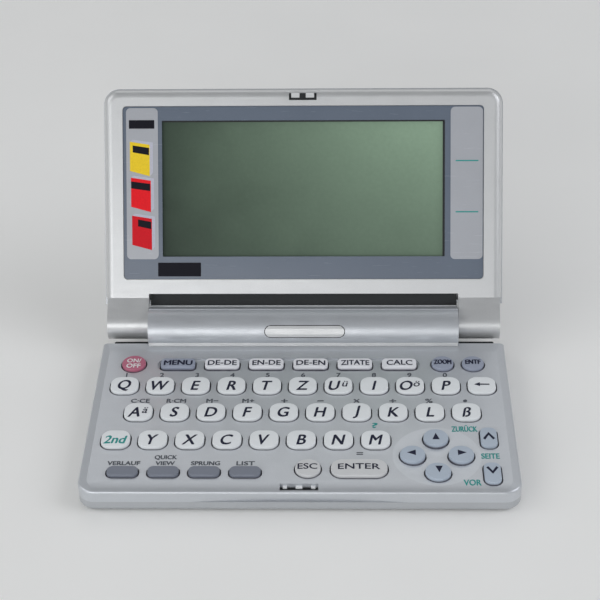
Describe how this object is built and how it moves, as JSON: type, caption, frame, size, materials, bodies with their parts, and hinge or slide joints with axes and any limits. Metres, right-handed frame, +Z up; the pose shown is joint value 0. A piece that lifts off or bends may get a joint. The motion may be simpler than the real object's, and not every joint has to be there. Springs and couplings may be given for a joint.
{
  "type": "electronic dictionary",
  "caption": "Pocket electronic dictionary: a clamshell with a full letter keyboard in its base and a wide display in its hinged lid.",
  "frame": {"origin": "centre of the bounding box of the opened device, on the surface it stands on", "axes": "+X along the hinge towards the enter and arrow keys, +Y from the user towards the lid, +Z up"},
  "size_m": [0.127, 0.121, 0.0745],
  "materials": {
    "case_silver": "silver lacquer, satin",
    "frame_silver": "silver lacquer, satin",
    "key_white": "moulded, slightly worn",
    "key_pale": "moulded, satin",
    "key_blue": "moulded, satin",
    "key_grey": "moulded, satin",
    "key_red": "moulded, satin",
    "window_print": "clear window, printed from behind",
    "display_glass": "green-grey display glass",
    "board_green": "solder mask",
    "mat_rubber": "silicone",
    "foot_rubber": "matt",
    "screw_steel": "zinc plated",
    "cell_sleeve": "printed sleeve"
  },
  "bodies": {
    "base": {"base_top_case": "case_silver", "base_bottom_case": "case_silver", "battery_cover": "case_silver", "batteries": "cell_sleeve", "keypad_mat": "mat_rubber", "main_board": "board_green", "base_screws": "screw_steel", "rubber_feet": "foot_rubber"},
    "lid": {"lid_frame": "frame_silver", "lid_cover": "case_silver", "hinge_pins": "screw_steel", "display_window": "window_print", "display_panel": "display_glass"},
    "key_power": {"key_power": "key_red"},
    "key_menu": {"key_menu": "key_blue"},
    "key_f1": {"key_f1": "key_pale"},
    "key_f2": {"key_f2": "key_pale"},
    "key_f3": {"key_f3": "key_pale"},
    "key_f4": {"key_f4": "key_pale"},
    "key_calc": {"key_calc": "key_pale"},
    "key_zoom": {"key_zoom": "key_blue"},
    "key_delete": {"key_delete": "key_blue"},
    "key_q": {"key_q": "key_white"},
    "key_w": {"key_w": "key_white"},
    "key_e": {"key_e": "key_white"},
    "key_r": {"key_r": "key_white"},
    "key_t": {"key_t": "key_white"},
    "key_z": {"key_z": "key_white"},
    "key_u": {"key_u": "key_white"},
    "key_i": {"key_i": "key_white"},
    "key_o": {"key_o": "key_white"},
    "key_p": {"key_p": "key_white"},
    "key_backspace": {"key_backspace": "key_white"},
    "key_a": {"key_a": "key_white"},
    "key_s": {"key_s": "key_white"},
    "key_d": {"key_d": "key_white"},
    "key_f": {"key_f": "key_white"},
    "key_g": {"key_g": "key_white"},
    "key_h": {"key_h": "key_white"},
    "key_j": {"key_j": "key_white"},
    "key_k": {"key_k": "key_white"},
    "key_l": {"key_l": "key_white"},
    "key_eszett": {"key_eszett": "key_white"},
    "key_second": {"key_second": "key_white"},
    "key_y": {"key_y": "key_white"},
    "key_x": {"key_x": "key_white"},
    "key_c": {"key_c": "key_white"},
    "key_v": {"key_v": "key_white"},
    "key_b": {"key_b": "key_white"},
    "key_n": {"key_n": "key_white"},
    "key_m": {"key_m": "key_white"},
    "key_escape": {"key_escape": "key_pale"},
    "key_enter": {"key_enter": "key_pale"},
    "key_up": {"key_up": "key_blue"},
    "key_down": {"key_down": "key_blue"},
    "key_left": {"key_left": "key_blue"},
    "key_right": {"key_right": "key_blue"},
    "key_page_up": {"key_page_up": "key_blue"},
    "key_page_down": {"key_page_down": "key_blue"},
    "shortcut_keys": {"shortcut_keys": "key_grey"}
  },
  "joints": [
    {"name": "lid_hinge", "type": "hinge", "parent": "base", "child": "lid", "pos_m": [0, 0.01554, 0.00983], "axis": [-1, 0, 0], "range_deg": [-121.8, 38]},
    {"name": "key_power_press", "type": "slide", "parent": "base", "child": "key_power", "axis": [0, 0, -1], "range_m": [0, 0.0007], "stiffness_N_per_m": 600},
    {"name": "key_menu_press", "type": "slide", "parent": "base", "child": "key_menu", "axis": [0, 0, -1], "range_m": [0, 0.0007], "stiffness_N_per_m": 600},
    {"name": "key_f1_press", "type": "slide", "parent": "base", "child": "key_f1", "axis": [0, 0, -1], "range_m": [0, 0.0007], "stiffness_N_per_m": 600},
    {"name": "key_f2_press", "type": "slide", "parent": "base", "child": "key_f2", "axis": [0, 0, -1], "range_m": [0, 0.0007], "stiffness_N_per_m": 600},
    {"name": "key_f3_press", "type": "slide", "parent": "base", "child": "key_f3", "axis": [0, 0, -1], "range_m": [0, 0.0007], "stiffness_N_per_m": 600},
    {"name": "key_f4_press", "type": "slide", "parent": "base", "child": "key_f4", "axis": [0, 0, -1], "range_m": [0, 0.0007], "stiffness_N_per_m": 600},
    {"name": "key_calc_press", "type": "slide", "parent": "base", "child": "key_calc", "axis": [0, 0, -1], "range_m": [0, 0.0007], "stiffness_N_per_m": 600},
    {"name": "key_zoom_press", "type": "slide", "parent": "base", "child": "key_zoom", "axis": [0, 0, -1], "range_m": [0, 0.0007], "stiffness_N_per_m": 600},
    {"name": "key_delete_press", "type": "slide", "parent": "base", "child": "key_delete", "axis": [0, 0, -1], "range_m": [0, 0.0007], "stiffness_N_per_m": 600},
    {"name": "key_q_press", "type": "slide", "parent": "base", "child": "key_q", "axis": [0, 0, -1], "range_m": [0, 0.0007], "stiffness_N_per_m": 600},
    {"name": "key_w_press", "type": "slide", "parent": "base", "child": "key_w", "axis": [0, 0, -1], "range_m": [0, 0.0007], "stiffness_N_per_m": 600},
    {"name": "key_e_press", "type": "slide", "parent": "base", "child": "key_e", "axis": [0, 0, -1], "range_m": [0, 0.0007], "stiffness_N_per_m": 600},
    {"name": "key_r_press", "type": "slide", "parent": "base", "child": "key_r", "axis": [0, 0, -1], "range_m": [0, 0.0007], "stiffness_N_per_m": 600},
    {"name": "key_t_press", "type": "slide", "parent": "base", "child": "key_t", "axis": [0, 0, -1], "range_m": [0, 0.0007], "stiffness_N_per_m": 600},
    {"name": "key_z_press", "type": "slide", "parent": "base", "child": "key_z", "axis": [0, 0, -1], "range_m": [0, 0.0007], "stiffness_N_per_m": 600},
    {"name": "key_u_press", "type": "slide", "parent": "base", "child": "key_u", "axis": [0, 0, -1], "range_m": [0, 0.0007], "stiffness_N_per_m": 600},
    {"name": "key_i_press", "type": "slide", "parent": "base", "child": "key_i", "axis": [0, 0, -1], "range_m": [0, 0.0007], "stiffness_N_per_m": 600},
    {"name": "key_o_press", "type": "slide", "parent": "base", "child": "key_o", "axis": [0, 0, -1], "range_m": [0, 0.0007], "stiffness_N_per_m": 600},
    {"name": "key_p_press", "type": "slide", "parent": "base", "child": "key_p", "axis": [0, 0, -1], "range_m": [0, 0.0007], "stiffness_N_per_m": 600},
    {"name": "key_backspace_press", "type": "slide", "parent": "base", "child": "key_backspace", "axis": [0, 0, -1], "range_m": [0, 0.0007], "stiffness_N_per_m": 600},
    {"name": "key_a_press", "type": "slide", "parent": "base", "child": "key_a", "axis": [0, 0, -1], "range_m": [0, 0.0007], "stiffness_N_per_m": 600},
    {"name": "key_s_press", "type": "slide", "parent": "base", "child": "key_s", "axis": [0, 0, -1], "range_m": [0, 0.0007], "stiffness_N_per_m": 600},
    {"name": "key_d_press", "type": "slide", "parent": "base", "child": "key_d", "axis": [0, 0, -1], "range_m": [0, 0.0007], "stiffness_N_per_m": 600},
    {"name": "key_f_press", "type": "slide", "parent": "base", "child": "key_f", "axis": [0, 0, -1], "range_m": [0, 0.0007], "stiffness_N_per_m": 600},
    {"name": "key_g_press", "type": "slide", "parent": "base", "child": "key_g", "axis": [0, 0, -1], "range_m": [0, 0.0007], "stiffness_N_per_m": 600},
    {"name": "key_h_press", "type": "slide", "parent": "base", "child": "key_h", "axis": [0, 0, -1], "range_m": [0, 0.0007], "stiffness_N_per_m": 600},
    {"name": "key_j_press", "type": "slide", "parent": "base", "child": "key_j", "axis": [0, 0, -1], "range_m": [0, 0.0007], "stiffness_N_per_m": 600},
    {"name": "key_k_press", "type": "slide", "parent": "base", "child": "key_k", "axis": [0, 0, -1], "range_m": [0, 0.0007], "stiffness_N_per_m": 600},
    {"name": "key_l_press", "type": "slide", "parent": "base", "child": "key_l", "axis": [0, 0, -1], "range_m": [0, 0.0007], "stiffness_N_per_m": 600},
    {"name": "key_eszett_press", "type": "slide", "parent": "base", "child": "key_eszett", "axis": [0, 0, -1], "range_m": [0, 0.0007], "stiffness_N_per_m": 600},
    {"name": "key_second_press", "type": "slide", "parent": "base", "child": "key_second", "axis": [0, 0, -1], "range_m": [0, 0.0007], "stiffness_N_per_m": 600},
    {"name": "key_y_press", "type": "slide", "parent": "base", "child": "key_y", "axis": [0, 0, -1], "range_m": [0, 0.0007], "stiffness_N_per_m": 600},
    {"name": "key_x_press", "type": "slide", "parent": "base", "child": "key_x", "axis": [0, 0, -1], "range_m": [0, 0.0007], "stiffness_N_per_m": 600},
    {"name": "key_c_press", "type": "slide", "parent": "base", "child": "key_c", "axis": [0, 0, -1], "range_m": [0, 0.0007], "stiffness_N_per_m": 600},
    {"name": "key_v_press", "type": "slide", "parent": "base", "child": "key_v", "axis": [0, 0, -1], "range_m": [0, 0.0007], "stiffness_N_per_m": 600},
    {"name": "key_b_press", "type": "slide", "parent": "base", "child": "key_b", "axis": [0, 0, -1], "range_m": [0, 0.0007], "stiffness_N_per_m": 600},
    {"name": "key_n_press", "type": "slide", "parent": "base", "child": "key_n", "axis": [0, 0, -1], "range_m": [0, 0.0007], "stiffness_N_per_m": 600},
    {"name": "key_m_press", "type": "slide", "parent": "base", "child": "key_m", "axis": [0, 0, -1], "range_m": [0, 0.0007], "stiffness_N_per_m": 600},
    {"name": "key_escape_press", "type": "slide", "parent": "base", "child": "key_escape", "axis": [0, 0, -1], "range_m": [0, 0.0007], "stiffness_N_per_m": 600},
    {"name": "key_enter_press", "type": "slide", "parent": "base", "child": "key_enter", "axis": [0, 0, -1], "range_m": [0, 0.0007], "stiffness_N_per_m": 600},
    {"name": "key_up_press", "type": "slide", "parent": "base", "child": "key_up", "axis": [0, 0, -1], "range_m": [0, 0.0007], "stiffness_N_per_m": 600},
    {"name": "key_down_press", "type": "slide", "parent": "base", "child": "key_down", "axis": [0, 0, -1], "range_m": [0, 0.0007], "stiffness_N_per_m": 600},
    {"name": "key_left_press", "type": "slide", "parent": "base", "child": "key_left", "axis": [0, 0, -1], "range_m": [0, 0.0007], "stiffness_N_per_m": 600},
    {"name": "key_right_press", "type": "slide", "parent": "base", "child": "key_right", "axis": [0, 0, -1], "range_m": [0, 0.0007], "stiffness_N_per_m": 600},
    {"name": "key_page_up_press", "type": "slide", "parent": "base", "child": "key_page_up", "axis": [0, 0, -1], "range_m": [0, 0.0007], "stiffness_N_per_m": 600},
    {"name": "key_page_down_press", "type": "slide", "parent": "base", "child": "key_page_down", "axis": [0, 0, -1], "range_m": [0, 0.0007], "stiffness_N_per_m": 600},
    {"name": "shortcut_keys_press", "type": "slide", "parent": "base", "child": "shortcut_keys", "axis": [0, 0, -1], "range_m": [0, 0.0007], "stiffness_N_per_m": 2400}
  ]
}
